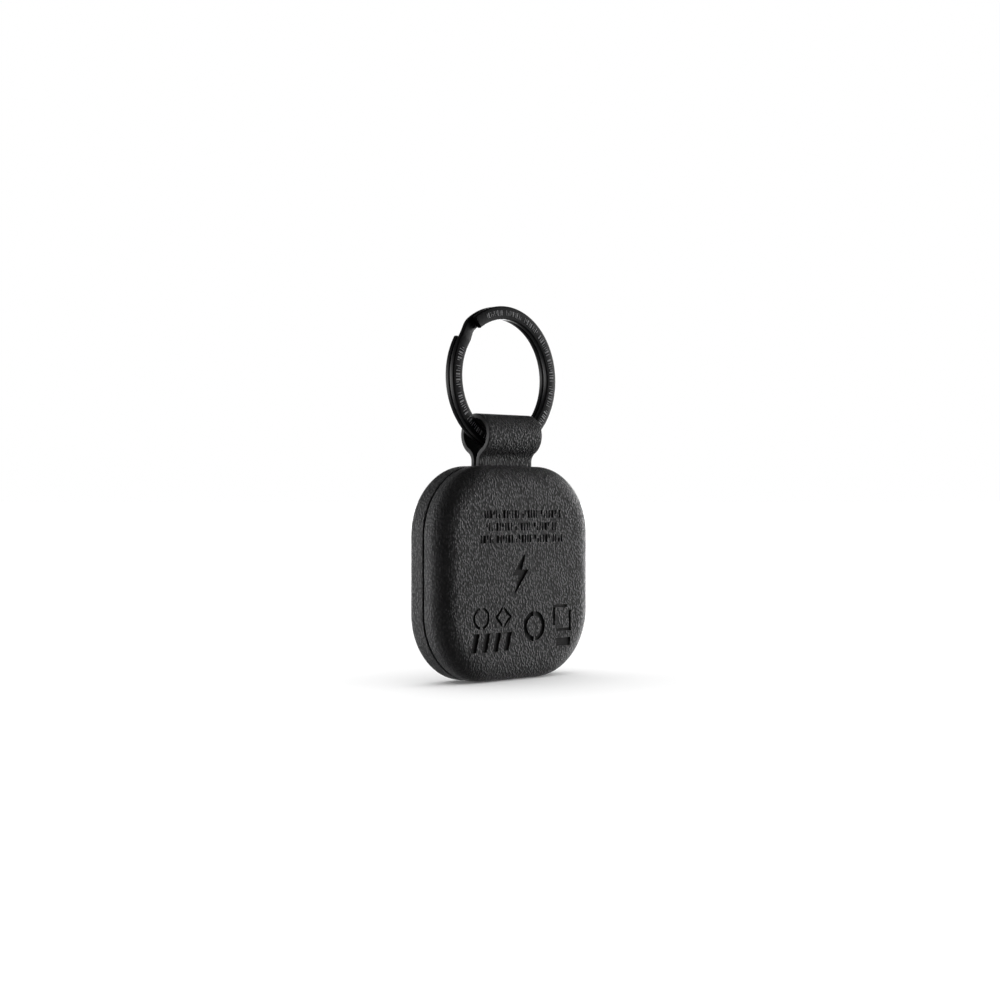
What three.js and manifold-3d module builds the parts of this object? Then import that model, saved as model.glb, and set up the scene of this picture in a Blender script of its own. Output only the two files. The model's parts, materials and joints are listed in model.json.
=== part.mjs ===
// Leather-covered bluetooth tracker tag on a strap loop with a split ring.
// Millimetres, +Z up. The origin is the middle of the housing's bottom edge.
// -Y is the rear (charging) face, +Y is the front (button) face.
import * as THREE from 'three';
import { mergeVertices } from 'three/addons/utils/BufferGeometryUtils.js';
import Module from 'manifold-3d';

const wasm = await Module();
wasm.setup();

// ---- driving dimensions ----
const SIZE = 37;            // housing width and height
const THICK = 9;            // housing thickness over both halves
const CORNER = 12;          // corner radius of the rounded-square outline
const REAR_EDGE = [4.0, 2.8]; // rounding of the rear half: across the face, along the side wall
const FRONT_EDGE = [3.0, 1.9];
const MID_Z = SIZE / 2;
const SKIN = 0.6;           // leather thickness
const WALL = 0.9;           // shell thickness
const SEAM = 0.36;          // width of the groove between the halves
const MARK_DEPTH = 0.25;    // depth of the debossed marks

const STRAP_WIDTH = 12.8;
const STRAP_LAYER = 0.8;
const STRAP_GAP = 0.5;      // between the two layers at the neck
const LOOP_Z = 42.4;        // centre of the strap's round loop
const LOOP_R = 3.65;        // outer radius of the loop
const NECK_R = 2.1;         // centreline radius of the curves from neck to loop
const LOOP_BASE_Z = 37;
const TAIL_TOP_Z = 36.4;
const TAIL_BOTTOM_Z = 29.2;
const SLOT_HALF = [6.9, 1.5]; // half length and half width of the strap slot

const RING_R = 12.5;        // outer radius of the split ring
const RING_RADIAL = 2.3;    // radial width of the flat wire
const RING_COIL = 0.93;     // thickness of one coil
const RING_PITCH = 1.08;    // from one coil's middle to the other's
const RING_Z = 52.35;       // height of the ring's centre
const RING_X = -0.15;       // the ring and the strap sit a little off centre
const STRAP_X = -0.2;
const RING_END = 125;       // angle of the near coil's end, degrees
const RING_STEP = [146, 126]; // angles between which the wire steps across

const BUTTON_R = 4.95;
const BUTTON_HOLE_R = 5.3;
const FLANGE_R = 5.9;
const LIGHT_Z = 26;
const BOSS_R = 1.6;
const BOSS_AT = [[-11.5, 7], [11.5, 7], [-11.5, 30], [11.5, 30]];
const CLAMP_SCREW_AT = [STRAP_X - 4, STRAP_X + 4];
const CLAMP_Z = [29.4, 34.4];

// stacking of the inner pieces along Y
const COIL_Y = [-2.95, -2.45];
const FERRITE_Y = [-2.4, -1.95];
const CELL_Y = [-1.75, 0.35];
const FOAM_Y = [0.4, 0.7];
const FRAME_Y = [-1.6, 0.72];
const BOARD_Y = [0.75, 1.35];
const PART_Y = BOARD_Y[1] + 0.02;
const CLAMP_Y = [1.1, 1.9];

// ---- helpers ----
const DEG = Math.PI / 180;
const FAR = SIZE;

function toSolid(geometry) {
  const bare = geometry.index ? geometry.clone() : geometry;
  bare.deleteAttribute('normal');
  bare.deleteAttribute('uv');
  const merged = mergeVertices(bare, 1e-5);
  return new wasm.Manifold(new wasm.Mesh({
    numProp: 3,
    vertProperties: new Float32Array(merged.attributes.position.array),
    triVerts: new Uint32Array(merged.index.array),
  }));
}

function toGeometry(solid) {
  const mesh = solid.getMesh();
  const geometry = new THREE.BufferGeometry();
  const points = new Float32Array(mesh.numVert * 3);
  for (let i = 0; i < mesh.numVert; i += 1) {
    for (let k = 0; k < 3; k += 1) {
      points[3 * i + k] = mesh.vertProperties[i * mesh.numProp + k];
    }
  }
  geometry.setAttribute('position', new THREE.BufferAttribute(points, 3));
  geometry.setIndex(new THREE.BufferAttribute(new Uint32Array(mesh.triVerts), 1));
  geometry.computeVertexNormals();
  return geometry;
}

function cut(body, ...tools) {
  return tools.reduce((left, tool) => left.subtract(tool), body);
}

// rounded square outline, inset from the housing's own outline
function outline(inset, segments = 12) {
  const half = SIZE / 2 - inset;
  const radius = CORNER - inset;
  const shape = new THREE.Shape();
  for (const [sx, sz, start] of [[1, 1, 0], [-1, 1, 90], [-1, -1, 180], [1, -1, 270]]) {
    for (let i = 0; i <= segments; i += 1) {
      const angle = (start + 90 * i / segments) * DEG;
      const x = sx * (half - radius) + radius * Math.cos(angle);
      const z = MID_Z + sz * (half - radius) + radius * Math.sin(angle);
      if (sx === 1 && sz === 1 && i === 0) {
        shape.moveTo(x, z);
      } else {
        shape.lineTo(x, z);
      }
    }
  }
  shape.closePath();
  return shape;
}

// a shape drawn in X and Z, extruded from y0 to y1
function plate(shape, y0, y1, curveSegments = 12) {
  const options = { depth: y1 - y0, bevelEnabled: false, curveSegments };
  const geometry = new THREE.ExtrudeGeometry(shape, options);
  geometry.rotateX(Math.PI / 2);
  geometry.translate(0, y1, 0);
  return toSolid(geometry);
}

// one half of the housing's pillow form, inset on every side; side is -1 for the rear half
function halfPillow(side, inset) {
  const [across, along] = side < 0 ? REAR_EDGE : FRONT_EDGE;
  const depth = THICK / 2 - along;
  const geometry = new THREE.ExtrudeGeometry(outline(inset), {
    depth: 2 * depth,
    bevelEnabled: true,
    bevelThickness: along - inset,
    bevelSize: across - inset,
    bevelOffset: inset - across,
    bevelSegments: 6,
  });
  geometry.rotateX(Math.PI / 2);
  geometry.translate(0, depth, 0);
  const near = side < 0 ? -FAR : SEAM / 2;
  const half = block(-FAR, FAR, near, near + FAR - SEAM / 2, -1, FAR + 1);
  return toSolid(geometry).intersect(half);
}

function block(x0, x1, y0, y1, z0, z1) {
  const geometry = new THREE.BoxGeometry(x1 - x0, y1 - y0, z1 - z0);
  geometry.translate((x0 + x1) / 2, (y0 + y1) / 2, (z0 + z1) / 2);
  return toSolid(geometry);
}

// a round bar along Y
function rod(x, z, radius, y0, y1, segments = 32) {
  const geometry = new THREE.CylinderGeometry(radius, radius, y1 - y0, segments);
  geometry.translate(x, (y0 + y1) / 2, z);
  return toSolid(geometry);
}

function roundedBar(x0, x1, z0, z1, radius) {
  const shape = new THREE.Shape();
  shape.moveTo(x0 + radius, z0);
  shape.lineTo(x1 - radius, z0);
  shape.absarc(x1 - radius, z0 + radius, radius, -Math.PI / 2, 0);
  shape.absarc(x1 - radius, z1 - radius, radius, 0, Math.PI / 2);
  shape.absarc(x0 + radius, z1 - radius, radius, Math.PI / 2, Math.PI);
  shape.absarc(x0 + radius, z0 + radius, radius, Math.PI, 1.5 * Math.PI);
  return shape;
}

function polygon(points) {
  return new THREE.Shape(points.map(([x, z]) => new THREE.Vector2(x, z)));
}

const tag = new THREE.Group();

function add(name, body, color, roughness, metalness = 0) {
  const material = new THREE.MeshStandardMaterial({ color, roughness, metalness });
  const geometry = body instanceof THREE.BufferGeometry ? body : toGeometry(body);
  const mesh = new THREE.Mesh(geometry, material);
  mesh.name = name;
  tag.add(mesh);
  return mesh;
}

const LEATHER = 0x2b2b2c;
const PLASTIC = 0x1b1b1c;
const STEEL = 0x1a1a1b;

// ---- housing: skins, shells and seam gasket ----
const [slotX, slotY] = SLOT_HALF;
const strapSlot = block(-slotX, slotX, -slotY, slotY, 34, 39);

// the layer of one half between two insets, open for the strap
function layer(side, outer, inner) {
  return cut(halfPillow(side, outer), halfPillow(side, inner), strapSlot);
}

const REAR_Y = -THICK / 2;
const FRONT_Y = THICK / 2;
const markFloor = REAR_Y + MARK_DEPTH;

function mark(shape) {
  return plate(shape, REAR_Y - 1, markFloor, 6);
}

// rows of short strokes in place of the lettering
function strokeRow(z, centre, halfWidth, phase) {
  const strokes = [];
  let x = centre - halfWidth;
  for (let count = phase; x < centre + halfWidth; count += 1) {
    const width = count % 4 === 2 ? 0.5 : 0.26;
    const low = z + (count % 5 === 3 ? 0.6 : 0);
    const high = z + (count % 7 === 5 && count % 5 !== 3 ? 0.7 : 1.3);
    strokes.push(polygon([[x, low], [x + width, low], [x + width, high], [x, high]]));
    x += width + (count % 6 === 5 ? 0.8 : 0.36);
  }
  return strokes;
}

// a curved band between two angles, in degrees
function arcBand(cx, cz, radius, width, start, end) {
  const steps = 12;
  const outer = [];
  const inner = [];
  for (let i = 0; i <= steps; i += 1) {
    const angle = (start + (end - start) * i / steps) * DEG;
    outer.push([cx + radius * Math.cos(angle), cz + radius * Math.sin(angle)]);
    inner.push([cx + (radius - width) * Math.cos(angle), cz + (radius - width) * Math.sin(angle)]);
  }
  return polygon([...outer, ...inner.reverse()]);
}

// a pointed bracket: its tip is at tipX and its two arms end at armX
function chevron(tipX, armX, z, half, width) {
  const side = Math.sign(armX - tipX);
  return polygon([
    [tipX, z], [armX, z + half], [armX, z + half - width], [tipX + side * width, z],
    [armX, z - half + width], [armX, z - half],
  ]);
}

// two strokes that meet at (x0, z0)
function corner(x0, z0, x1, z1, width) {
  const sx = Math.sign(x1 - x0) * width;
  const sz = Math.sign(z1 - z0) * width;
  return polygon([[x0, z0], [x1, z0], [x1, z0 + sz], [x0 + sx, z0 + sz], [x0 + sx, z1], [x0, z1]]);
}

const slashes = [0, 1, 2, 3].map((i) => {
  const x = -11.8 + 2.55 * i;
  return polygon([[x, 5.3], [x + 1.2, 5.3], [x + 2, 8.5], [x + 0.8, 8.5]]);
});
const boltMark = polygon([
  [1.3, 22.3], [-2.1, 18.1], [-0.4, 18.1], [-1.45, 14.9], [1.95, 19.1], [0.3, 19.1],
]);
const marks = [
  boltMark,
  arcBand(-9.4, 11.1, 1.9, 0.45, 102, 258),
  arcBand(-9.4, 11.1, 1.9, 0.45, -78, 78),
  chevron(-6.2, -4.4, 11.1, 1.8, 0.6),
  chevron(-2.2, -4.0, 11.1, 1.8, 0.6),
  ...slashes,
  arcBand(3.3, 9.2, 2.6, 0.8, 96, 264),
  arcBand(3.3, 9.2, 2.6, 0.8, -84, 84),
  corner(8.0, 12.7, 11.6, 9.1, 0.5),
  corner(12.5, 8.0, 8.9, 11.6, 0.5),
  polygon([[8.8, 5.4], [12.4, 5.4], [12.4, 6.8], [8.8, 6.8]]),
  ...strokeRow(28.05, 0.5, 9.1, 0),
  ...strokeRow(25.9, 0.4, 8.6, 3),
  ...strokeRow(23.8, 0.5, 10, 1),
].map(mark);

const buttonHole = rod(0, MID_Z, BUTTON_HOLE_R, 1, 6, 48);
const rearSkin = cut(layer(-1, 0, SKIN), ...marks);
const frontSkin = cut(layer(1, 0, SKIN), buttonHole, rod(0, LIGHT_Z, 0.65, 1, 6, 20));
add('rear_skin', rearSkin, LEATHER, 0.75);
add('front_skin', frontSkin, LEATHER, 0.75);

let rearShell = layer(-1, SKIN, SKIN + WALL);
let frontShell = cut(layer(1, SKIN, SKIN + WALL), buttonHole, rod(0, LIGHT_Z, 0.6, 1, 6, 20));
for (const [x, z] of BOSS_AT) {
  rearShell = cut(rearShell, rod(x, z, 1.1, -4.2, -3.4, 24), rod(x, z, 0.55, -4, -2.5, 20));
  const boss = cut(rod(x, z, BOSS_R, -2.9, 3.05, 24), rod(x, z, 0.5, -3, 1.3, 20));
  frontShell = frontShell.add(boss);
}
add('rear_shell', rearShell, PLASTIC, 0.55);
add('front_shell', frontShell, PLASTIC, 0.55);

const gasketForm = cut(plate(outline(SKIN + 0.02), -0.15, 0.15), plate(outline(SKIN + WALL), -1, 1));
add('seam_gasket', cut(gasketForm, strapSlot), 0x0c0c0d, 0.8);

BOSS_AT.forEach(([x, z], i) => {
  const screw = rod(x, z, 0.45, -3.5, 1.1, 20).add(rod(x, z, 1.0, -3.88, -3.42, 24));
  const crossA = block(x - 0.6, x + 0.6, -5, -3.65, z - 0.12, z + 0.12);
  const crossB = block(x - 0.12, x + 0.12, -5, -3.65, z - 0.6, z + 0.6);
  add(`assembly_screw_${i + 1}`, cut(screw, crossA, crossB), 0x8b8b8e, 0.35, 1);
});

// ---- mid frame, battery and charging coil ----
const frameForm = plate(outline(SKIN + WALL + 0.2), ...FRAME_Y);
const frameCuts = [
  block(-9.05, 9.05, -3, 3, 3.2, 26.7),
  block(-8, 8, -3, 3, 28.4, 40),
  block(11.3, 12.7, -3, 3, 16, 19),
  ...BOSS_AT.map(([x, z]) => rod(x, z, 1.9, -3, 3, 24)),
];
add('mid_frame', cut(frameForm, ...frameCuts), 0x2e2e30, 0.6);

const coilProfile = [[6, -0.25], [12.5, -0.25], [12.5, 0.25], [6, 0.25], [6, -0.25]];
const coilPoints = coilProfile.map(([r, y]) => new THREE.Vector2(r, y));
const coilGeometry = new THREE.LatheGeometry(coilPoints, 48);
coilGeometry.translate(0, (COIL_Y[0] + COIL_Y[1]) / 2, MID_Z - 1);
add('charging_coil', toSolid(coilGeometry), 0xb0683a, 0.35, 1);
const leadNotch = block(11.3, 14, -3, 0, 16, 19);
add('ferrite_sheet', cut(rod(0, MID_Z - 1, 13.2, ...FERRITE_Y, 48), leadNotch), 0x303030, 0.7);
['a', 'b'].forEach((letter, i) => {
  const lead = rod(12, 17 + i, 0.18, COIL_Y[1] + 0.03, BOARD_Y[0] - 0.03, 12);
  add(`coil_lead_${letter}`, lead, 0xb0683a, 0.4, 1);
});

add('battery_cell', plate(roundedBar(-8.6, 8.6, 3.6, 25.2, 0.8), ...CELL_Y, 4), 0xb9bcc0, 0.35, 0.6);
add('battery_protection_board', block(-5, 5, -1.2, -0.2, 25.4, 26.4), 0x1f5a34, 0.5);
add('battery_foam_pad', block(-7, 7, ...FOAM_Y, 5, 23), 0x222224, 0.95);
add('battery_lead_plus', rod(3, 25.9, 0.25, -0.17, BOARD_Y[0] - 0.03, 12), 0xa02020, 0.5);
add('battery_lead_minus', rod(-3, 25.9, 0.25, -0.17, BOARD_Y[0] - 0.03, 12), 0x161616, 0.5);

// ---- main board and what is on it ----
const boardForm = plate(outline(2), ...BOARD_Y);
const boardCuts = [
  block(-FAR, FAR, -3, 3, 28.2, 40),
  ...BOSS_AT.map(([x, z]) => rod(x, z, 2, -3, 3, 24)),
];
add('main_board', cut(boardForm, ...boardCuts), 0x12402a, 0.45);
const canForm = block(-14, -7.5, PART_Y, 2.2, 12, 22);
add('shield_can', cut(canForm, block(-13.85, -7.65, 1, 2.05, 12.15, 21.85)), 0xb4b6b8, 0.3, 1);
add('radio_chip', block(-12.75, -8.75, PART_Y, 1.87, 16.5, 20.5), 0x18181a, 0.5);
add('crystal', block(-11.75, -9.75, PART_Y, 1.82, 13.2, 14.8), 0xc4c4c4, 0.3, 1);
add('charger_chip', block(9, 12, PART_Y, 1.87, 20.5, 23.5), 0x18181a, 0.5);
add('chip_antenna', block(-12.5, -7.5, PART_Y, 1.97, 25.6, 26.8), 0xdad6c8, 0.5);
for (let i = 0; i < 4; i += 1) {
  const x = 8 + 1.7 * i;
  add(`capacitor_${i + 1}`, block(x - 0.5, x + 0.5, PART_Y, 1.82, 13, 13.6), 0x9a7a55, 0.6);
}
add('status_led', block(-0.5, 0.5, PART_Y, 1.77, LIGHT_Z - 0.3, LIGHT_Z + 0.3), 0xe8e4d0, 0.4);
add('light_pipe', rod(0, LIGHT_Z, 0.5, 1.85, FRONT_Y - 0.1, 20), 0xd8e0e4, 0.1);

// ---- sounder ----
const SOUNDER_Z = 7.4;
add('piezo_plate', rod(0, SOUNDER_Z, 4.2, 2.72, 2.95, 36), 0xb8964a, 0.35, 1);
add('piezo_ceramic', rod(0, SOUNDER_Z, 3.1, 2.48, 2.7, 32), 0xd9d6cc, 0.6);
add('piezo_lead_plate', rod(-3.7, SOUNDER_Z, 0.15, PART_Y, 2.7, 12), 0xa02020, 0.5);
add('piezo_lead_ceramic', rod(0, SOUNDER_Z, 0.15, PART_Y, 2.46, 12), 0x161616, 0.5);

// ---- press button ----
const switchForm = block(-1.8, 1.8, PART_Y, 1.85, MID_Z - 1.8, MID_Z + 1.8);
add('switch_body', cut(switchForm, rod(0, MID_Z, 0.95, 1.45, 3, 24)), 0x2c2c2e, 0.5);
add('switch_plunger', rod(0, MID_Z, 0.8, 1.78, 2.18, 24), 0xd0d0ce, 0.5);
const capForm = rod(0, MID_Z, FLANGE_R, 2.2, 2.65, 48).add(rod(0, MID_Z, BUTTON_R, 2.5, 3.9, 48));
add('button_cap', capForm, PLASTIC, 0.55);
add('button_skin', rod(0, MID_Z, BUTTON_R, 3.9, FRONT_Y, 48), LEATHER, 0.75);
const sealForm = cut(rod(0, MID_Z, 6.0, 2.68, 2.97, 48), rod(0, MID_Z, 5.4, 2, 4, 48));
add('button_seal', sealForm, 0x101011, 0.8);

// ---- strap: a folded band whose tails are clamped inside the housing ----
const neckY = STRAP_GAP / 2 + STRAP_LAYER / 2;
const loopMid = LOOP_R - STRAP_LAYER / 2;
const neckCentreY = neckY + NECK_R;
const neckCentreZ = LOOP_Z - Math.sqrt((NECK_R + loopMid) ** 2 - neckCentreY ** 2);
const joinAngle = Math.atan2(LOOP_Z - neckCentreZ, neckCentreY);

// one face of the band: side is +1 for the outer face and -1 for the inner face
function bandFace(side) {
  const points = [];
  const shift = side * STRAP_LAYER / 2;
  const neckSteps = 8;
  const loopSteps = 40;
  points.push(new THREE.Vector2(neckY + shift, LOOP_BASE_Z));
  for (let i = 0; i <= neckSteps; i += 1) {
    const angle = Math.PI - joinAngle * i / neckSteps;
    const radius = NECK_R - shift;
    points.push(
      new THREE.Vector2(
        neckCentreY + radius * Math.cos(angle),
        neckCentreZ + radius * Math.sin(angle),
      ),
    );
  }
  for (let i = 1; i < loopSteps; i += 1) {
    const angle = -joinAngle + (Math.PI + 2 * joinAngle) * i / loopSteps;
    const radius = loopMid + shift;
    points.push(new THREE.Vector2(radius * Math.cos(angle), LOOP_Z + radius * Math.sin(angle)));
  }
  for (let i = neckSteps; i >= 0; i -= 1) {
    const p = points[1 + i];
    points.push(new THREE.Vector2(-p.x, p.y));
  }
  points.push(new THREE.Vector2(-neckY - shift, LOOP_BASE_Z));
  return points;
}

const bandShape = new THREE.Shape([...bandFace(1), ...bandFace(-1).reverse()]);
const bandGeometry = new THREE.ExtrudeGeometry(bandShape, { depth: STRAP_WIDTH, bevelEnabled: false });
const bandAxes = new THREE.Matrix4().makeBasis(
  new THREE.Vector3(0, 1, 0), new THREE.Vector3(0, 0, 1), new THREE.Vector3(1, 0, 0),
);
bandGeometry.applyMatrix4(bandAxes);
bandGeometry.translate(STRAP_X - STRAP_WIDTH / 2, 0, 0);
add('strap_loop', toSolid(bandGeometry), LEATHER, 0.75);

const clampHoles = CLAMP_SCREW_AT.map((x) => rod(x, 31.9, 0.55, -1.2, 5, 20));
const halfStrap = STRAP_WIDTH / 2;
for (const [name, side] of [['rear', -1], ['front', 1]]) {
  const near = side * STRAP_GAP / 2;
  const far = side * (STRAP_GAP / 2 + STRAP_LAYER);
  const tail = block(
    STRAP_X - halfStrap,
    STRAP_X + halfStrap,
    Math.min(near, far),
    Math.max(near, far),
    TAIL_BOTTOM_Z,
    TAIL_TOP_Z,
  );
  add(`strap_tail_${name}`, cut(tail, ...clampHoles), LEATHER, 0.75);
}
const rearClamp = block(-7.8, 7.8, -CLAMP_Y[1], -CLAMP_Y[0], ...CLAMP_Z);
const threads = CLAMP_SCREW_AT.map((x) => rod(x, 31.9, 0.5, -1.75, 0, 20));
add('strap_clamp_rear', cut(rearClamp, ...threads), 0x9c9c9f, 0.4, 1);
const frontClamp = block(-7.2, 7.2, CLAMP_Y[0], CLAMP_Y[1], ...CLAMP_Z);
add('strap_clamp_front', cut(frontClamp, ...clampHoles), 0x9c9c9f, 0.4, 1);
CLAMP_SCREW_AT.forEach((x, i) => {
  const screw = rod(x, 31.9, 0.45, -1.7, 2, 20).add(rod(x, 31.9, 0.9, 1.92, 2.5, 24));
  const slotted = cut(screw, block(x - 0.7, x + 0.7, 2.25, 3, 31.78, 32.02));
  add(`strap_screw_${i + 1}`, slotted, 0x8b8b8e, 0.35, 1);
});

// ---- split ring: two coils of one flat wire with a step between them ----
class RingWire extends THREE.Curve {
  getPoint(t) {
    const start = RING_END;
    const end = RING_END - 698;
    const angle = start + (end - start) * t;
    const stepFrom = RING_STEP[0] - 360;
    const stepTo = RING_STEP[1] - 360;
    const across = THREE.MathUtils.smoothstep(-angle, -stepFrom, -stepTo);
    const radius = RING_R - RING_RADIAL / 2;
    return new THREE.Vector3(
      RING_X + radius * Math.cos(angle * DEG),
      RING_PITCH * (across - 0.5),
      RING_Z + radius * Math.sin(angle * DEG),
    );
  }
}

const wireSection = new THREE.Shape();
const [hx, hy, bevel] = [RING_COIL / 2, RING_RADIAL / 2, 0.16];
wireSection.moveTo(-hx + bevel, -hy);
wireSection.lineTo(hx - bevel, -hy);
wireSection.lineTo(hx, -hy + bevel);
wireSection.lineTo(hx, hy - bevel);
wireSection.lineTo(hx - bevel, hy);
wireSection.lineTo(-hx + bevel, hy);
wireSection.lineTo(-hx, hy - bevel);
wireSection.lineTo(-hx, -hy + bevel);
const ringGeometry = new THREE.ExtrudeGeometry(wireSection, {
  steps: 160,
  extrudePath: new RingWire(),
  bevelEnabled: false,
});
add('split_ring', toSolid(ringGeometry), STEEL, 0.3, 1);

export default tag;
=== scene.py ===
import json
import math

import bmesh
import bpy
from mathutils import Euler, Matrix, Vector


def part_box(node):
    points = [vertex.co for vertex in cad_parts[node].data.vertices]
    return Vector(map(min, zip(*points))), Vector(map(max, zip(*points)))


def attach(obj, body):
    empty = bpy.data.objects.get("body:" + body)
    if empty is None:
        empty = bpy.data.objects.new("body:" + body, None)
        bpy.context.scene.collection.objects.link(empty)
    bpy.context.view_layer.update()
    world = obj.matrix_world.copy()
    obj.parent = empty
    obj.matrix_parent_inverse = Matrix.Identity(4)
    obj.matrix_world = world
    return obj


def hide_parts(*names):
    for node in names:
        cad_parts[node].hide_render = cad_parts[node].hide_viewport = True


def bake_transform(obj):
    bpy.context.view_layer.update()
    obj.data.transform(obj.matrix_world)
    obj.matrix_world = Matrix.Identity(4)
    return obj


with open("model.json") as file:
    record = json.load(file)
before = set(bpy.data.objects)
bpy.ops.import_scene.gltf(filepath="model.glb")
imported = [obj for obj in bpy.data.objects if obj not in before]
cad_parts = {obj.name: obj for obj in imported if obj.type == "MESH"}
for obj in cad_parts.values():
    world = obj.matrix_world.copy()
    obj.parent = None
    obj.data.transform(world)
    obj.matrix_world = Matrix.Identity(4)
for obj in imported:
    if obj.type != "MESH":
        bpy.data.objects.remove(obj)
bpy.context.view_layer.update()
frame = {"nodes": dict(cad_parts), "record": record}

MM = 0.001
nodes = frame["nodes"]
low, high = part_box("rear_skin")
SIZE = high.x - low.x              # housing width and height
REAR_Y = low.y                     # rear (charging) face
FRONT_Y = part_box("front_skin")[1].y
SEAM_Y = high.y                    # rear skin's edge at the seam, negative
MID_Z = (low.z + high.z) / 2
CORNER = 12 * MM
# rounded edges, per side: across the face, along the wall
EDGES = {-1: (4.0 * MM, 2.8 * MM), 1: (3.0 * MM, 1.9 * MM)}
SKIN = 0.6 * MM                    # thickness of the leather with its backing
MARK_DEPTH = 0.25 * MM             # how deep the marks are pressed into the rear leather
STRAP_LOW, STRAP_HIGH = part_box("strap_loop")
RING_LOW, RING_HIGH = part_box("split_ring")
RING_Z = (RING_LOW.z + RING_HIGH.z) / 2
RING_R = (RING_HIGH.x - RING_LOW.x) / 2
RING_X = (RING_HIGH.x + RING_LOW.x) / 2
STRAP_X = (STRAP_HIGH.x + STRAP_LOW.x) / 2

STUDIO = 5.1                       # brightness of the studio's side and back light
AMBIENT = 0.06                     # brightness of the studio's dark part
# painted light: the floor glows, least next to the object, which paints a wide faint shadow round
# it
FLOOR_GLOW = 0.05                  # the floor's own light next to the object
GLOW_FROM, GLOW_TO = 0.06, 0.4     # metres from the object: the glow starts, and is full

# ---------------------------------------------------------------- camera
AZIMUTH = math.radians(44.15)
look = Vector((math.sin(AZIMUTH), math.cos(AZIMUTH), 0))
camera_data = bpy.data.cameras.new("camera")
camera_data.lens = 61.98
camera_data.sensor_width = 36
camera_data.clip_start = 0.01
camera_data.clip_end = 20
camera = bpy.data.objects.new("camera", camera_data)
camera.location = (-0.20965, -0.21532, 0.031136)
camera.rotation_euler = look.to_track_quat("-Z", "Y").to_euler()
bpy.context.scene.collection.objects.link(camera)
bpy.context.scene.camera = camera
bpy.context.scene.view_settings.view_transform = "Standard"
bpy.context.scene.view_settings.look = "None"


# ---------------------------------------------------------------- materials
class Nodes:
    """A small helper for node trees: add(kind, inputs..., settings...) and link by socket."""

    def __init__(self, tree):
        self.tree = tree
        tree.nodes.clear()

    def add(self, kind, inputs=None, **settings):
        node = self.tree.nodes.new(kind)
        for name, value in settings.items():
            setattr(node, name, value)
        for name, value in (inputs or {}).items():
            if isinstance(value, bpy.types.NodeSocket):
                self.tree.links.new(value, node.inputs[name])
            else:
                node.inputs[name].default_value = value
        return node

    def math(self, operation, a, b=0.0, c=0.0):
        return self.add("ShaderNodeMath", {0: a, 1: b, 2: c}, operation=operation).outputs[0]

    def ramp(self, factor, stops):
        node = self.add("ShaderNodeValToRGB", {"Fac": factor})
        elements = node.color_ramp.elements
        while len(elements) < len(stops):
            elements.new(0.5)
        for element, (position, color) in zip(elements, stops):
            element.position = position
            element.color = (*color, 1)
        return node.outputs["Color"]

    def remap(self, value, low_in, high_in, low_out, high_out, smooth=False):
        kind = "SMOOTHSTEP" if smooth else "LINEAR"
        node = self.add("ShaderNodeMapRange", interpolation_type=kind)
        self.tree.links.new(value, node.inputs["Value"])
        limits = {"From Min": low_in, "From Max": high_in, "To Min": low_out, "To Max": high_out}
        for name, number in limits.items():
            node.inputs[name].default_value = number
        return node.outputs["Result"]


def new_material(name):
    material = bpy.data.materials.new(name)
    material.use_nodes = True
    return material, Nodes(material.node_tree)


def finish_material(n, shader):
    n.add("ShaderNodeOutputMaterial", {"Surface": shader.outputs[0]})


def grey(value, tint=0.0):
    return (value, value, value * (1 + tint), 1)


def mix_grey(n, factor, dark, light, tint=0.03):
    colors = {0: factor, 6: grey(dark, tint), 7: grey(light, tint)}
    return n.add("ShaderNodeMix", colors, data_type="RGBA").outputs[2]


def noise(n, place, scale, detail):
    settings = {"Vector": place, "Scale": scale, "Detail": detail}
    return n.add("ShaderNodeTexNoise", settings)


def vector_math(n, operation, inputs):
    return n.add("ShaderNodeVectorMath", inputs, operation=operation).outputs[0]


def leather(name, base, cell=0.5, depth=0.05, roughness=0.62):
    """Pebbled leather: rounded cells with creases between them, and finer wrinkles."""
    material, n = new_material(name)
    place = n.add("ShaderNodeTexCoord").outputs["Object"]
    place = vector_math(n, "MULTIPLY", {0: place, 1: (1.0, 1.0, 0.65)})
    warp = noise(n, place, 0.9 / (cell * MM), 1.0).outputs["Color"]
    offset = vector_math(n, "SUBTRACT", {0: warp, 1: (0.5, 0.5, 0.5)})
    scaled = vector_math(n, "SCALE", {0: offset, "Scale": 0.5 * cell * MM})
    warped = vector_math(n, "ADD", {0: place, 1: scaled})
    cells = n.add(
        "ShaderNodeTexVoronoi",
        {"Vector": warped, "Scale": 1 / (cell * MM), "Smoothness": 0.35},
        feature="SMOOTH_F1",
    ).outputs["Distance"]
    fine = noise(n, place, 3.2 / (cell * MM), 2.0).outputs["Fac"]
    broad = noise(n, place, 160.0, 2.0).outputs["Fac"]
    pebble = n.remap(cells, 0.1, 0.75, 1.0, 0.0, smooth=True)
    height = n.math("MULTIPLY_ADD", fine, 0.35, pebble)
    height = n.math("MULTIPLY_ADD", broad, 0.3, height)
    bump = n.add("ShaderNodeBump", {"Height": height, "Strength": 1.0, "Distance": depth * MM})
    # the colour is darker in the creases between the pebbles, a painted crease shade, with a random
    # broad tone on top
    shade = n.math("MULTIPLY_ADD", broad, 0.4, n.math("MULTIPLY", pebble, 0.6))
    color = mix_grey(n, shade, base * 0.8, base * 1.15)
    rough = n.remap(pebble, 0.0, 1.0, roughness + 0.16, roughness - 0.06)
    shader = n.add(
        "ShaderNodeBsdfPrincipled",
        {"Base Color": color, "Roughness": rough, "IOR": 1.48, "Normal": bump.outputs[0]},
    )
    finish_material(n, shader)
    return material


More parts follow.
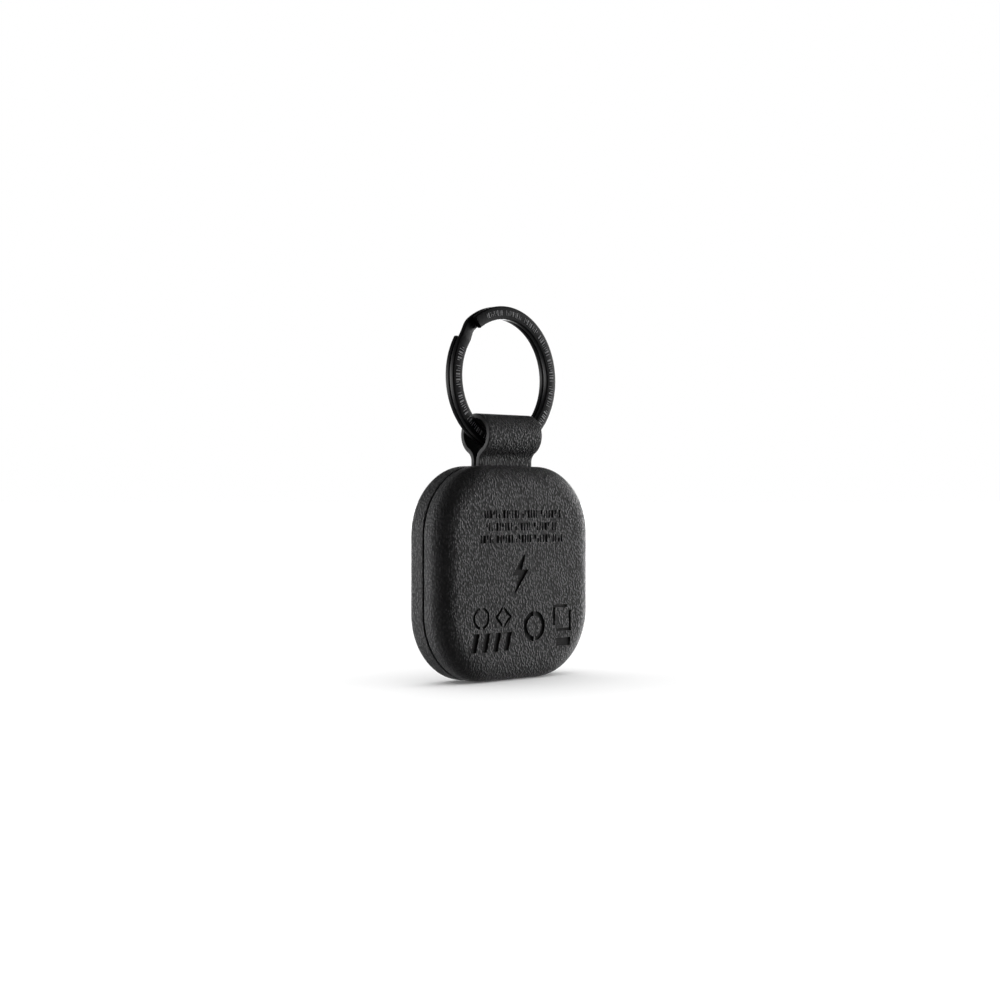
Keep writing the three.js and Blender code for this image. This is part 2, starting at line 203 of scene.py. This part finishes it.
def plain(name, color, roughness, metallic=0.0, grain=0.15, depth=0.01, variation=0.12, ior=1.46):
    """Moulded, plated or painted surface with a fine texture and a little variation."""
    material, n = new_material(name)
    place = n.add("ShaderNodeTexCoord").outputs["Object"]
    fine = noise(n, place, 1 / (grain * MM), 3.0).outputs["Fac"]
    broad = noise(n, place, 220.0, 3.0).outputs["Fac"]
    dark = tuple(c * (1 - variation) for c in color)
    light = tuple(c * (1 + variation) for c in color)
    tone = n.ramp(broad, [(0.3, dark), (0.7, light)])
    rough = n.remap(fine, 0.3, 0.7, roughness - 0.05, roughness + 0.07)
    bump = n.add("ShaderNodeBump", {"Height": fine, "Strength": 0.6, "Distance": depth * MM})
    inputs = {
        "Base Color": tone,
        "Roughness": rough,
        "Metallic": metallic,
        "IOR": ior,
        "Normal": bump.outputs[0],
    }
    finish_material(n, n.add("ShaderNodeBsdfPrincipled", inputs))
    return material


LEATHER = leather("black_leather", 0.042, cell=0.34, depth=0.085)
STRAP_LEATHER = leather("strap_leather", 0.036, cell=0.34, depth=0.085)
PRESSED = plain("pressed_leather", (0.013, 0.013, 0.0135), 0.75, grain=0.3, depth=0.01)
CUT_EDGE = plain("cut_leather_edge", (0.055, 0.055, 0.056), 0.7, grain=0.12, depth=0.02)
# near-black inner side of the strap: painted shade for the inside of the loop and between its
# layers
INNER_SIDE_SHADE = plain("strap_inner_side_painted_shade", (0.006, 0.006, 0.006), 0.95, grain=0.1, depth=0.02)
BLACK_STEEL = plain(
    "black_plated_steel", (0.008, 0.008, 0.009), 0.34, grain=0.08, depth=0.003, ior=1.22
)
ETCHING = plain("etched_steel", (0.42, 0.42, 0.43), 0.6, grain=0.05, depth=0.003)

CAD_LOOKS = {
    "black_plastic": plain("black_plastic", (0.010, 0.010, 0.011), 0.6),
    "grey_plastic": plain("grey_plastic", (0.03, 0.03, 0.032), 0.55),
    "black_silicone": plain("black_silicone", (0.004, 0.004, 0.004), 0.85),
    "black_steel": BLACK_STEEL,
    "screw_steel": plain("screw_steel", (0.5, 0.5, 0.51), 0.3, metallic=1.0),
    "clamp_steel": plain("clamp_steel", (0.45, 0.45, 0.46), 0.38, metallic=1.0),
    "copper": plain("copper", (0.65, 0.28, 0.14), 0.3, metallic=1.0),
    "ferrite": plain("ferrite", (0.03, 0.03, 0.032), 0.7),
    "cell_foil": plain("cell_foil", (0.6, 0.61, 0.63), 0.35, metallic=0.9, grain=0.5, depth=0.04),
    "board_green": plain("board_green", (0.012, 0.07, 0.035), 0.4),
    "foam": plain("foam", (0.02, 0.02, 0.02), 0.95, grain=0.3, depth=0.08),
    "red_insulation": plain("red_insulation", (0.4, 0.02, 0.02), 0.45),
    "black_insulation": plain("black_insulation", (0.01, 0.01, 0.01), 0.45),
    "can_steel": plain("can_steel", (0.6, 0.6, 0.61), 0.28, metallic=1.0),
    "chip_black": plain("chip_black", (0.012, 0.012, 0.013), 0.5),
    "antenna_ceramic": plain("antenna_ceramic", (0.7, 0.67, 0.58), 0.5),
    "capacitor_ceramic": plain("capacitor_ceramic", (0.35, 0.22, 0.12), 0.5),
    "led_resin": plain("led_resin", (0.8, 0.77, 0.6), 0.3),
    "clear_plastic": plain("clear_plastic", (0.30, 0.32, 0.33), 0.15),
    "brass_plate": plain("brass_plate", (0.7, 0.5, 0.2), 0.3, metallic=1.0),
    "piezo_white": plain("piezo_white", (0.7, 0.68, 0.62), 0.55),
    "black_leather": LEATHER,
    "strap_leather": STRAP_LEATHER,
}
for part in frame["record"]["subparts"]:
    look_of_part = CAD_LOOKS[part["material_slot"]]
    mesh = nodes[part["node"]].data
    mesh.materials.clear()
    mesh.materials.append(look_of_part)


# ---------------------------------------------------------------- mesh helpers
def make_object(name, vertices, faces, materials, smooth_angle=32):
    mesh = bpy.data.meshes.new(name)
    mesh.from_pydata([tuple(v) for v in vertices], [], faces)
    mesh.validate()
    for material in materials:
        mesh.materials.append(material)
    tidy_mesh(mesh, smooth_angle)
    piece = bpy.data.objects.new(name, mesh)
    bpy.context.scene.collection.objects.link(piece)
    return piece


def tidy_mesh(mesh, smooth_angle=32):
    work = bmesh.new()
    work.from_mesh(mesh)
    bmesh.ops.remove_doubles(work, verts=work.verts, dist=1e-7)
    bmesh.ops.recalc_face_normals(work, faces=work.faces)
    work.to_mesh(mesh)
    work.free()
    for polygon in mesh.polygons:
        polygon.use_smooth = True
    mesh.set_sharp_from_angle(angle=math.radians(smooth_angle))


def stacked(rings):
    """Faces that join rings of equal length one after the other, with a cap on each end."""
    count = len(rings[0])
    vertices = [point for ring in rings for point in ring]
    faces = []
    for r in range(len(rings) - 1):
        a, b = r * count, (r + 1) * count
        for i in range(count):
            j = (i + 1) % count
            faces.append((a + i, a + j, b + j, b + i))
    last = (len(rings) - 1) * count
    faces.append(tuple(range(count)))
    faces.append(tuple(last + i for i in range(count)))
    return vertices, faces


def outline(inset, segments=20):
    """The housing's rounded square, inset evenly, as (x, z) points."""
    half = SIZE / 2 - inset
    radius = CORNER - inset
    points = []
    for sx, sz, start in ((1, 1, 0), (-1, 1, 90), (-1, -1, 180), (1, -1, 270)):
        for i in range(segments + 1):
            angle = math.radians(start + 90 * i / segments)
            x = sx * (half - radius) + radius * math.cos(angle)
            z = MID_Z + sz * (half - radius) + radius * math.sin(angle)
            points.append((x, z))
    return points


def boolean_cut(piece, cutter):
    """Cuts the cutter out of the piece and removes it. The cut faces keep the cutter's material."""
    modifier = piece.modifiers.new("cut", "BOOLEAN")
    modifier.object = cutter
    modifier.operation = "DIFFERENCE"
    modifier.solver = "EXACT"
    modifier.material_mode = "TRANSFER"
    graph = bpy.context.evaluated_depsgraph_get()
    result = bpy.data.meshes.new_from_object(piece.evaluated_get(graph))
    piece.modifiers.clear()
    old = piece.data
    piece.data = result
    result.name = old.name
    bpy.data.meshes.remove(old)
    bpy.data.objects.remove(cutter)
    tidy_mesh(result)


def prism(points, y0, y1):
    """Rings of an (x, z) outline at two depths."""
    return [[(x, y, z) for x, z in points] for y in (y0, y1)]


def merged_prisms(name, shapes, y0, y1, material):
    """One object made of several upright outlines, all between the same two depths."""
    vertices, faces = [], []
    for shape in shapes:
        part_vertices, part_faces = stacked(prism(shape, y0, y1))
        base = len(vertices)
        vertices += part_vertices
        faces += [tuple(base + i for i in face) for face in part_faces]
    return make_object(name, vertices, faces, [material])


# ---------------------------------------------------------------- leather skins
def skin(name, side):
    """One half of the pillow: outer face, rounded edge, seam lip and inner face."""
    depth = abs(FRONT_Y if side > 0 else REAR_Y)
    seam = abs(SEAM_Y)
    lip = 0.14 * MM
    across, along = EDGES[side]
    profile = []
    for i in range(9):
        angle = math.radians(90 - 90 * i / 8)
        inset = across + (SKIN - across) * math.cos(angle)
        profile.append((inset, depth - along + (along - SKIN) * math.sin(angle)))
    profile.append((SKIN, seam))
    for i in range(6):
        angle = math.radians(90 * i / 5)
        profile.append((lip * (1 - math.sin(angle)), seam + lip * (1 - math.cos(angle))))
    for i in range(25):
        angle = math.radians(90 * i / 24)
        inset = across * (1 - math.cos(angle))
        profile.append((inset, depth - along + along * math.sin(angle)))
    rings = []
    for inset, y in profile:
        rings.append([(x, side * y, z) for x, z in outline(inset)])
    vertices, faces = stacked(rings)
    return make_object(name, vertices, faces, [LEATHER])


def polygon_mm(*points):
    """An outline given in millimetres from the middle of the rear face's bottom edge."""
    return [(x * MM, z * MM) for x, z in points]


def bar(x0, x1, z0, z1):
    return polygon_mm((x1, z0), (x1, z1), (x0, z1), (x0, z0))


def stroke_row(z, centre, half_width, phase):
    """A row of short strokes where the real tag has small lettering."""
    strokes = []
    x, count = centre - half_width, phase
    while x < centre + half_width:
        width = 0.5 if count % 4 == 2 else 0.26
        low = z + (0.6 if count % 5 == 3 else 0)
        high = z + (0.7 if count % 7 == 5 and count % 5 != 3 else 1.3)
        strokes.append(bar(x, x + width, low, high))
        x += width + (0.8 if count % 6 == 5 else 0.36)
        count += 1
    return strokes


def arc_band(cx, cz, radius, width, start, end, steps=20):
    """A curved stroke of even width, between two angles in degrees."""
    outer, inner = [], []
    for i in range(steps + 1):
        angle = math.radians(start + (end - start) * i / steps)
        for points, reach in ((outer, radius), (inner, radius - width)):
            points.append((cx + reach * math.cos(angle), cz + reach * math.sin(angle)))
    return polygon_mm(*(outer + inner[::-1]))


def chevron(tip_x, arm_x, z, half, width):
    """A pointed bracket: its tip is at tip_x and its two arms end at arm_x."""
    inner_x = tip_x + math.copysign(width, arm_x - tip_x)
    upper = [(tip_x, z), (arm_x, z + half), (arm_x, z + half - width), (inner_x, z)]
    return polygon_mm(*upper, (arm_x, z - half + width), (arm_x, z - half))


def corner_mark(x0, z0, x1, z1, width):
    """Two strokes that meet at (x0, z0)."""
    x_in = x0 + math.copysign(width, x1 - x0)
    z_in = z0 + math.copysign(width, z1 - z0)
    return polygon_mm((x0, z0), (x1, z0), (x1, z_in), (x_in, z_in), (x_in, z1), (x0, z1))


def slash(x, z0, z1):
    return polygon_mm((x, z0), (x + 1.2, z0), (x + 2, z1), (x + 0.8, z1))


bolt = polygon_mm(
    (1.3, 22.3), (-2.1, 18.1), (-0.4, 18.1), (-1.45, 14.9), (1.95, 19.1), (0.3, 19.1)
)
marks = [
    bolt,
    arc_band(-9.4, 11.1, 1.9, 0.45, 102, 258),
    arc_band(-9.4, 11.1, 1.9, 0.45, -78, 78),
    chevron(-6.2, -4.4, 11.1, 1.8, 0.6),
    chevron(-2.2, -4.0, 11.1, 1.8, 0.6),
    *[slash(x, 5.3, 8.5) for x in (-11.8, -9.25, -6.7, -4.15)],
    arc_band(3.3, 9.2, 2.6, 0.8, 96, 264),
    arc_band(3.3, 9.2, 2.6, 0.8, -84, 84),
    corner_mark(8.0, 12.7, 11.6, 9.1, 0.5),
    corner_mark(12.5, 8.0, 8.9, 11.6, 0.5),
    bar(8.8, 12.4, 5.4, 6.8),
    *stroke_row(28.05, 0.5, 9.1, 0),
    *stroke_row(25.9, 0.4, 8.6, 3),
    *stroke_row(23.8, 0.5, 10, 1),
]


def strap_slot():
    """The cutter for the slot that the strap goes into, at the top of the housing."""
    half_x, half_y = 6.9 * MM, 1.5 * MM
    bottom, top = SIZE - 3 * MM, SIZE + 2 * MM
    shape = [(half_x, bottom), (half_x, top), (-half_x, top), (-half_x, bottom)]
    return merged_prisms("slot_tool", [shape], -half_y, half_y, LEATHER)


def rounded_end(radius, y, roll, growth):
    """Steps of a quarter turn that ends at y; growth is 1 to flare out and -1 to roll in."""
    steps = []
    for i in range(1, 7):
        angle = math.radians(90 * i / 6)
        across = radius + growth * roll * (1 - math.cos(angle))
        steps.append((across, y - roll + roll * math.sin(angle)))
    return steps


def flared_hole(radius, flare):
    """A round cutter along Y whose mouth opens out in a curve at the front face."""
    straight = [(radius, 0.5 * MM), (radius, FRONT_Y - flare)]
    curve = rounded_end(radius, FRONT_Y, flare, 1)
    return straight + curve + [(radius + flare, FRONT_Y + MM)]


def turned(name, steps, x, z, material, count=96, smooth_angle=32):
    """A closed body turned about a line along Y through (x, z); steps are (radius, y)."""
    rings = []
    for radius, y in steps:
        angles = (2 * math.pi * i / count for i in range(count))
        rings.append([(x + radius * math.cos(a), y, z + radius * math.sin(a)) for a in angles])
    vertices, faces = stacked(rings)
    return make_object(name, vertices, faces, [material], smooth_angle)


rear_skin = skin("rear_leather", -1)
boolean_cut(rear_skin, strap_slot())
mark_tool = merged_prisms("mark_tool", marks, REAR_Y - MM, REAR_Y + MARK_DEPTH, PRESSED)
boolean_cut(rear_skin, mark_tool)
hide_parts("rear_skin")
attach(rear_skin, "housing")

LIGHT_LOW, LIGHT_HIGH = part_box("light_pipe")
LIGHT_Z = (LIGHT_LOW.z + LIGHT_HIGH.z) / 2
front_skin = skin("front_leather", 1)
boolean_cut(front_skin, strap_slot())
button_hole = flared_hole(5.3 * MM, 0.22 * MM)
boolean_cut(front_skin, turned("button_tool", button_hole, 0, MID_Z, LEATHER))
light_hole = flared_hole(0.65 * MM, 0.1 * MM)
boolean_cut(front_skin, turned("light_tool", light_hole, 0, LIGHT_Z, LEATHER, 32))
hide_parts("front_skin")
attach(front_skin, "housing")

# leather disc on the press button: flat, with a rolled edge
button_low, button_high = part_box("button_skin")
disc_r = (button_high.x - button_low.x) / 2
roll = 0.28 * MM
steps = [(disc_r, button_low.y), (disc_r, button_high.y - roll)]
steps += rounded_end(disc_r, button_high.y, roll, -1)
for share in (0.8, 0.55, 0.25):
    steps.append((disc_r * share, button_high.y))
button_disc = turned("button_leather", steps, 0, MID_Z, LEATHER)
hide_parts("button_skin")
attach(button_disc, "button")

# ---------------------------------------------------------------- strap
STRAP_HALF = (STRAP_HIGH.x - STRAP_LOW.x) / 2
LAYER = 0.8 * MM
LOOP_R = (STRAP_HIGH.y - STRAP_LOW.y) / 2
LOOP_Z = STRAP_HIGH.z - LOOP_R
NECK_Y = 0.65 * MM
NECK_R = 2.1 * MM
TAIL_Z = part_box("strap_tail_rear")[0].z


def strap_path():
    """Points and outward normals (y, z) of the band's middle line, up at +Y and down at -Y."""
    loop_mid = LOOP_R - LAYER / 2
    centre_y = NECK_Y + NECK_R
    centre_z = LOOP_Z - math.sqrt((NECK_R + loop_mid) ** 2 - centre_y ** 2)
    join = math.atan2(LOOP_Z - centre_z, centre_y)
    side = []
    for i in range(24):
        side.append(((NECK_Y, TAIL_Z + (centre_z - TAIL_Z) * i / 24), (1, 0)))
    for i in range(15):
        angle = math.pi - join * i / 14
        normal = (-math.cos(angle), -math.sin(angle))
        point = (centre_y + NECK_R * math.cos(angle), centre_z + NECK_R * math.sin(angle))
        side.append((point, normal))
    for i in range(1, 29):
        angle = -join + (math.pi / 2 + join) * i / 28
        normal = (math.cos(angle), math.sin(angle))
        side.append(((loop_mid * normal[0], LOOP_Z + loop_mid * normal[1]), normal))
    other = [((-p[0], p[1]), (-q[0], q[1])) for p, q in reversed(side[:-1])]
    return side + other


def strap_section():
    """The band's cross-section as (across, out) points, with rounder edges on the outside."""
    points = []
    corners = ((1, 1, 0, 0.19), (-1, 1, 90, 0.19), (-1, -1, 180, 0.07), (1, -1, 270, 0.07))
    for sx, st, start, size in corners:
        radius = size * MM
        for i in range(6):
            angle = math.radians(start + 18 * i)
            x = sx * (STRAP_HALF - radius) + radius * math.cos(angle)
            points.append((x, st * (LAYER / 2 - radius) + radius * math.sin(angle)))
    full = []
    for a, b in zip(points, points[1:] + points[:1]):
        full.append(a)
        if abs(a[0] - b[0]) > STRAP_HALF:
            shares = [k / 12 for k in range(1, 12)]
            full += [(a[0] + (b[0] - a[0]) * t, a[1] + (b[1] - a[1]) * t) for t in shares]
    return full


section = strap_section()
rings = []
for (y, z), (ny, nz) in strap_path():
    rings.append([(STRAP_X + across, y + out * ny, z + out * nz) for across, out in section])
strap_vertices, strap_faces = stacked(rings)
strap_materials = [STRAP_LEATHER, CUT_EDGE, INNER_SIDE_SHADE]
strap = make_object("leather_strap", strap_vertices, strap_faces, strap_materials)
for polygon in strap.data.polygons:
    is_cap = len(polygon.vertices) != 4
    places = [section[i % len(section)] for i in polygon.vertices]
    if is_cap or all(abs(across) > STRAP_HALF - 0.06 * MM for across, out in places):
        polygon.material_index = 1
    # faces on the band's inner side get the near-black colour, a painted shade
    elif sum(out for across, out in places) < 0:
        polygon.material_index = 2
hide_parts("strap_loop", "strap_tail_rear", "strap_tail_front")
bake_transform(strap)

# ---------------------------------------------------------------- split ring
COIL = 0.93 * MM                   # the flat wire's thickness
PITCH = 1.08 * MM                  # from one coil's middle to the other's
RADIAL = 2.3 * MM                  # the flat wire's width
RING_END = 125                     # degrees, where the near coil starts
RING_TURNS = 698                   # degrees of wire, just under two turns
RING_STEPS = 420
STEP_FROM, STEP_TO = 146 - 360, 126 - 360  # degrees, where the wire crosses from coil to coil


def smooth(value):
    value = min(max(value, 0.0), 1.0)
    return value * value * (3 - 2 * value)


def ring_section():
    """The wire's cross-section as (along the ring's axis, outward) points."""
    radius = 0.2 * MM
    half_y, half_r = COIL / 2 - radius, RADIAL / 2 - radius
    corners = (
        (half_y, half_r, 0),
        (-half_y, half_r, 90),
        (-half_y, -half_r, 180),
        (half_y, -half_r, 270),
    )
    points = []
    for cy, cr, start in corners:
        for i in range(5):
            angle = math.radians(start + 22.5 * i)
            points.append((cy + radius * math.cos(angle), cr + radius * math.sin(angle)))
    return points


def ring_frame(angle):
    """The wire's middle point and outward direction at an angle in degrees."""
    across = smooth((angle - STEP_FROM) / (STEP_TO - STEP_FROM))
    y = PITCH * (across - 0.5)
    radial = Vector((math.cos(math.radians(angle)), 0, math.sin(math.radians(angle))))
    middle = Vector((RING_X, y, RING_Z)) + radial * (RING_R - RADIAL / 2)
    return middle, radial


rings = []
for i in range(RING_STEPS + 1):
    middle, radial = ring_frame(RING_END - RING_TURNS * i / RING_STEPS)
    rings.append([middle + Vector((0, dy, 0)) + radial * dr for dy, dr in ring_section()])
ring_vertices, ring_faces = stacked(rings)
ring = make_object("flat_wire_ring", ring_vertices, ring_faces, [BLACK_STEEL])
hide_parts("split_ring")
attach(ring, "ring")


# light etched ticks round the ring's near face
def ring_tick(angle, width, r0, r1):
    """A thin plate on the near face, between two radii: middle angle, width in millimetres."""
    half = math.degrees(0.5 * width * MM / ((r0 + r1) / 2))
    surface = -PITCH / 2 - COIL / 2
    points = []
    for r, side in ((r0, -1), (r1, -1), (r1, 1), (r0, 1)):
        turn = math.radians(angle + side * half)
        points.append((RING_X + r * math.cos(turn), RING_Z + r * math.sin(turn)))
    return prism(points, surface - 0.012 * MM, surface + 0.02 * MM)


tick_vertices, tick_faces = [], []
tick_r = RING_R - RADIAL / 2
angle, count = 113.0, 0
while angle > -206:
    kind = count * 5 % 7
    width = 0.26 if kind in (2, 5) else 0.11
    foot = 0.1 if kind == 4 else 0.45
    head = 0.05 if kind == 1 else 0.45
    tick = ring_tick(angle, width, tick_r - foot * MM, tick_r + head * MM)
    part_vertices, part_faces = stacked(tick)
    base = len(tick_vertices)
    tick_vertices += part_vertices
    tick_faces += [tuple(base + i for i in face) for face in part_faces]
    gap = 0.9 if count % 9 == 8 else 0.3
    angle -= math.degrees((width + gap) * MM / tick_r)
    count += 1
etching = make_object("ring_etching", tick_vertices, tick_faces, [ETCHING])
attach(etching, "ring")

# ---------------------------------------------------------------- floor, world and lights
floor_material, n = new_material("floor")
floor_place = n.add("ShaderNodeTexCoord").outputs["Object"]
floor_noise = noise(n, floor_place, 4.0, 2.0).outputs["Fac"]
floor_tone = mix_grey(n, floor_noise, 0.88, 0.92, 0.0)
reach = n.add("ShaderNodeVectorMath", {0: floor_place}, operation="LENGTH").outputs["Value"]
# the floor's painted glow: low next to the object and full further out, a wide faint painted shadow
glow = n.remap(reach, GLOW_FROM, GLOW_TO, FLOOR_GLOW, 1.0, smooth=True)
finish_material(n, n.add("ShaderNodeBsdfPrincipled", {
    "Base Color": floor_tone,
    "Roughness": 0.95,
    "Specular IOR Level": 0.0,
    "Emission Color": (1, 1, 1, 1),
    "Emission Strength": glow,
}))
bpy.ops.mesh.primitive_plane_add(size=60, location=(0, 0, 0))
floor = bpy.context.object
floor.name = "floor"
floor.data.materials.append(floor_material)
floor.visible_diffuse = False
floor.visible_glossy = False

world = bpy.data.worlds.new("studio")
bpy.context.scene.world = world
world.use_nodes = True
n = Nodes(world.node_tree)
direction = n.add("ShaderNodeTexCoord").outputs["Generated"]
up = n.add("ShaderNodeSeparateXYZ", {0: direction}).outputs["Z"]


def facing(angle):
    """Cosine of each direction with a level direction, in degrees to the right of the camera."""
    level = Vector((-look.x, -look.y, 0))
    level.rotate(Euler((0, 0, math.radians(angle))))
    inputs = {0: direction, 1: tuple(level)}
    return n.add("ShaderNodeVectorMath", inputs, operation="DOT_PRODUCT").outputs["Value"]


# the studio is dark around the camera, more so to its right, and white on both sides and behind
side = n.remap(facing(16), -0.05, 0.3, 1.0, 0.0, smooth=True)
back = n.remap(facing(145), 0.55, 0.95, 0.0, 2.0, smooth=True)
left = n.remap(facing(-90), 0.3, 0.9, 0.0, 0.25, smooth=True)
overhead = n.remap(up, 0.0, 0.38, 1.0, 0.0, smooth=True)
below = n.remap(up, -0.42, -0.05, 0.03, 1.0, smooth=True)
around = n.math("ADD", n.math("ADD", side, back), left)
light = n.math("MULTIPLY", around, n.math("MULTIPLY", overhead, below))
light = n.math("MULTIPLY_ADD", light, STUDIO, AMBIENT)
is_camera = n.add("ShaderNodeLightPath").outputs["Is Camera Ray"]
strength = n.add("ShaderNodeMix", {0: is_camera, 2: light, 3: 1.0}, data_type="FLOAT").outputs[0]
background = n.add("ShaderNodeBackground", {"Color": (1, 1, 1, 1), "Strength": strength})
n.add("ShaderNodeOutputWorld", {"Surface": background.outputs[0]})

# an overhead softbox that only lights the floor, so the object's own top stays dark
softbox_data = bpy.data.lights.new("floor_softbox", "AREA")
softbox_data.shape = "SQUARE"
softbox_data.size = 2.4
softbox_data.energy = 23.6
softbox = bpy.data.objects.new("floor_softbox", softbox_data)
softbox.location = (0, 0, 0.9)
bpy.context.scene.collection.objects.link(softbox)
lit = bpy.data.collections.new("lit_by_softbox")
lit.objects.link(floor)
softbox.light_linking.receiver_collection = lit
